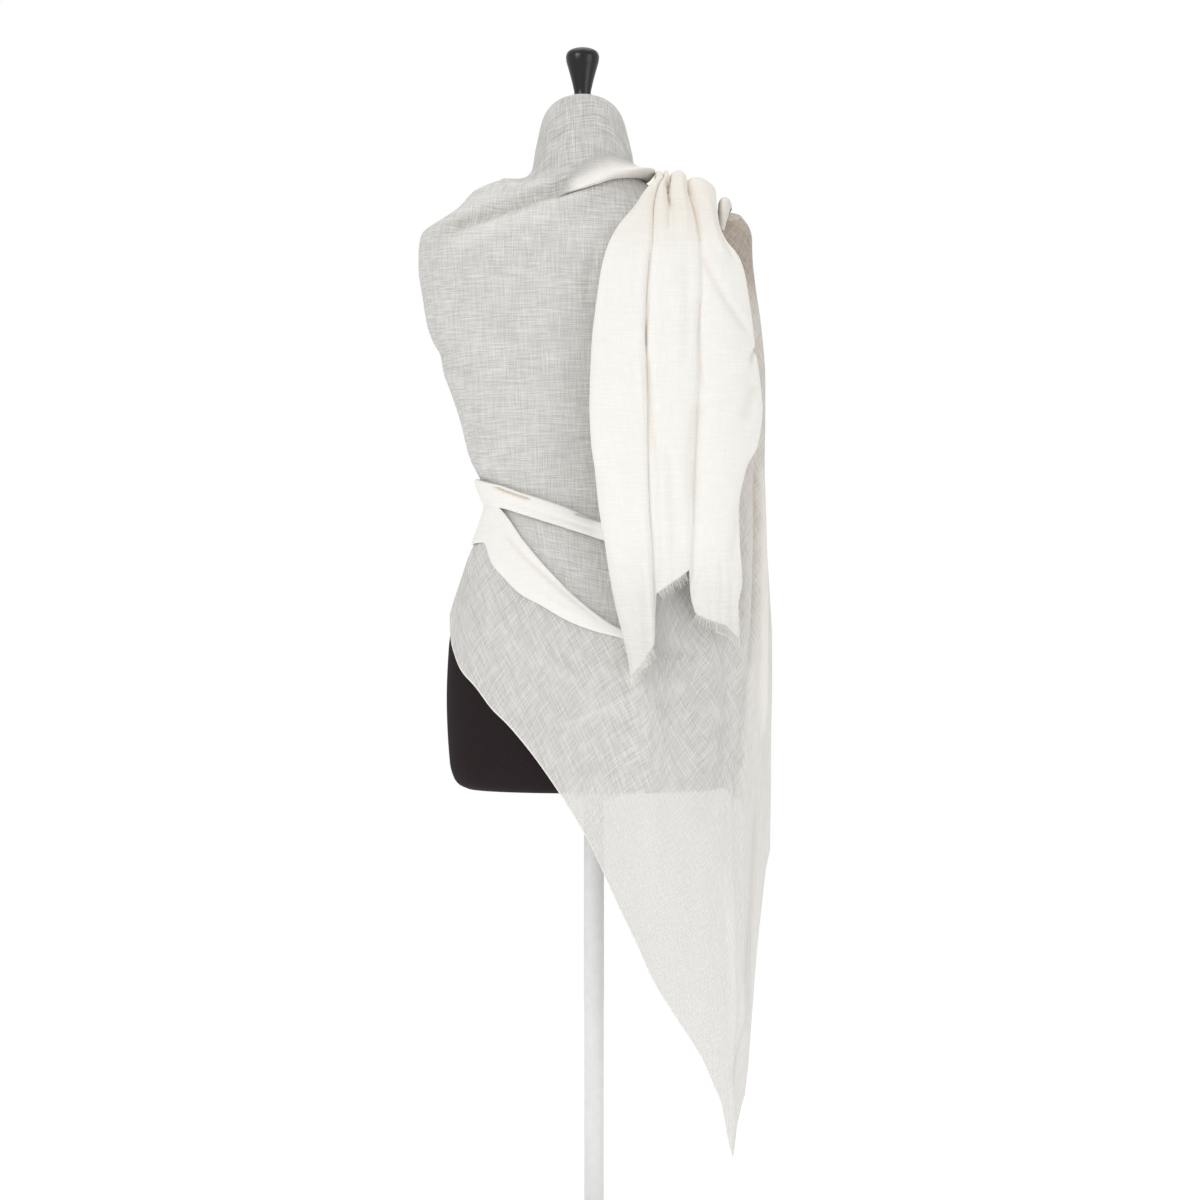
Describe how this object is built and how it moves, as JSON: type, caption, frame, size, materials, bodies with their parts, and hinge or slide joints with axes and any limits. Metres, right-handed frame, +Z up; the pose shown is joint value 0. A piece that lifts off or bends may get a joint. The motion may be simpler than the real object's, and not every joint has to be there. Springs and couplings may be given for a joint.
{
  "type": "shawl on a dress form",
  "caption": "Sheer wool gauze shawl with short fringe, wound round neck, waist and hips of a limbless dress form, one end pleated over the shoulder, on a pole with a round foot.",
  "frame": {"origin": "centre of the round foot's underside, on the floor", "axes": "+Z up; the form's back faces -Y, and +X is the shoulder that the end is thrown over"},
  "size_m": [0.4068, 0.34, 1.3868],
  "materials": {
    "gauze": "sheer matt open weave",
    "jersey": "matt black stretch cover",
    "black_lacquer": "gloss black",
    "white_lacquer": "satin white"
  },
  "bodies": {
    "root": {"back_and_neck_wrap": "gauze", "hip_wrap_with_tail": "gauze", "waist_band_upper": "gauze", "waist_band_lower": "gauze", "shoulder_end": "gauze", "fringe_pleat_1": "gauze", "fringe_pleat_2": "gauze", "fringe_pleat_3": "gauze", "neck_roll": "gauze", "shoulder_tuck": "gauze", "form_body": "jersey", "knob_collar": "black_lacquer", "neck_knob": "black_lacquer", "pole_socket": "white_lacquer", "pole": "white_lacquer", "pole_collar": "white_lacquer", "base_plate": "white_lacquer"}
  },
  "joints": []
}
